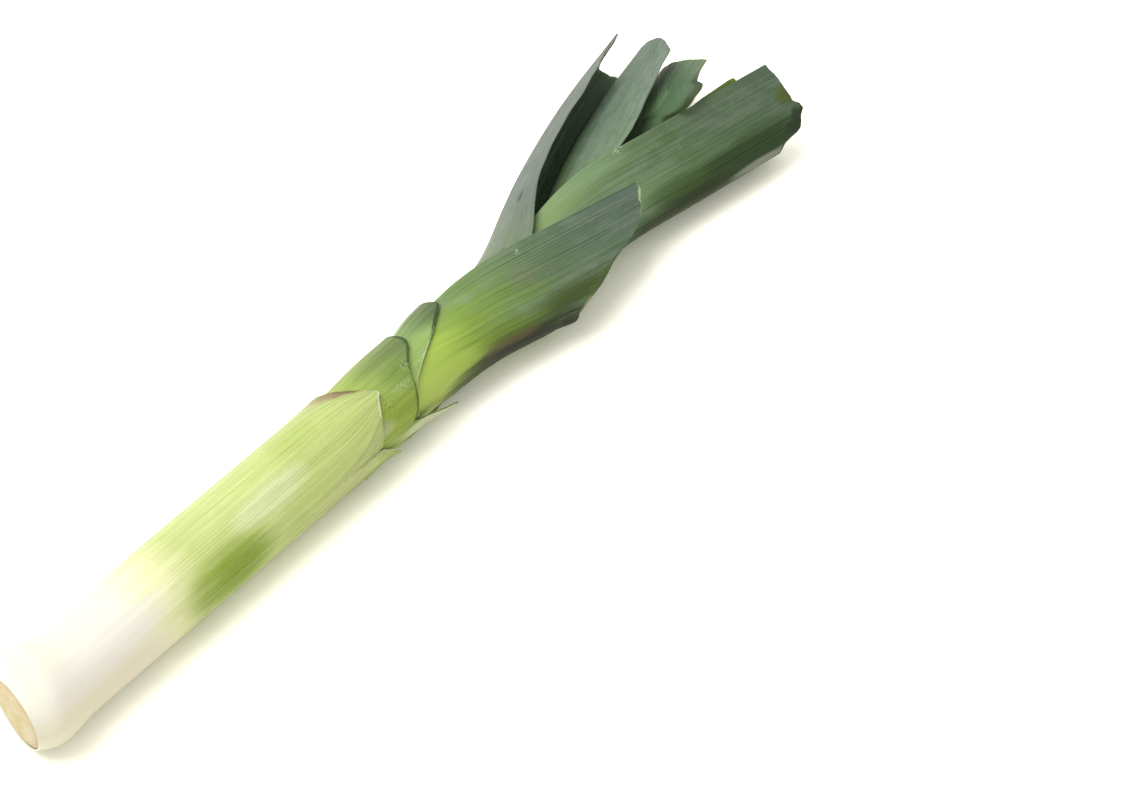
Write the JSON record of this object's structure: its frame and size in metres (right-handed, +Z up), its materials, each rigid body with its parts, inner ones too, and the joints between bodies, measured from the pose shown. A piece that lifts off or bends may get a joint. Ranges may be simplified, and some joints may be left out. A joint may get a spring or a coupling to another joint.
{
  "type": "leek",
  "caption": "Trimmed leek lying on its side: pale root end, layered sheaths with cut rims, and folded green blades fanning out flat.",
  "frame": {"origin": "middle of the underside of the bounding box, on the plane the leek lies on", "axes": "+X along the shaft from the root end to the leaf tips, +Y towards the far rank of leaves, +Z up"},
  "size_m": [0.4076, 0.0924, 0.039],
  "materials": {
    "root_plate": "matt cut face",
    "leaf_1": "smooth, satin",
    "leaf_2": "smooth, satin",
    "leaf_3": "smooth, satin",
    "leaf_4": "waxy, satin",
    "leaf_5": "waxy, satin",
    "leaf_6": "waxy, satin",
    "leaf_7": "waxy, satin",
    "leaf_8": "waxy, satin",
    "leaf_9": "waxy, satin"
  },
  "bodies": {
    "root": {"root_plate": "root_plate", "leaf_1": "leaf_1", "leaf_2": "leaf_2", "leaf_3": "leaf_3", "leaf_4": "leaf_4", "leaf_5": "leaf_5", "leaf_6": "leaf_6", "leaf_7": "leaf_7", "leaf_8": "leaf_8", "leaf_9": "leaf_9"}
  },
  "joints": []
}
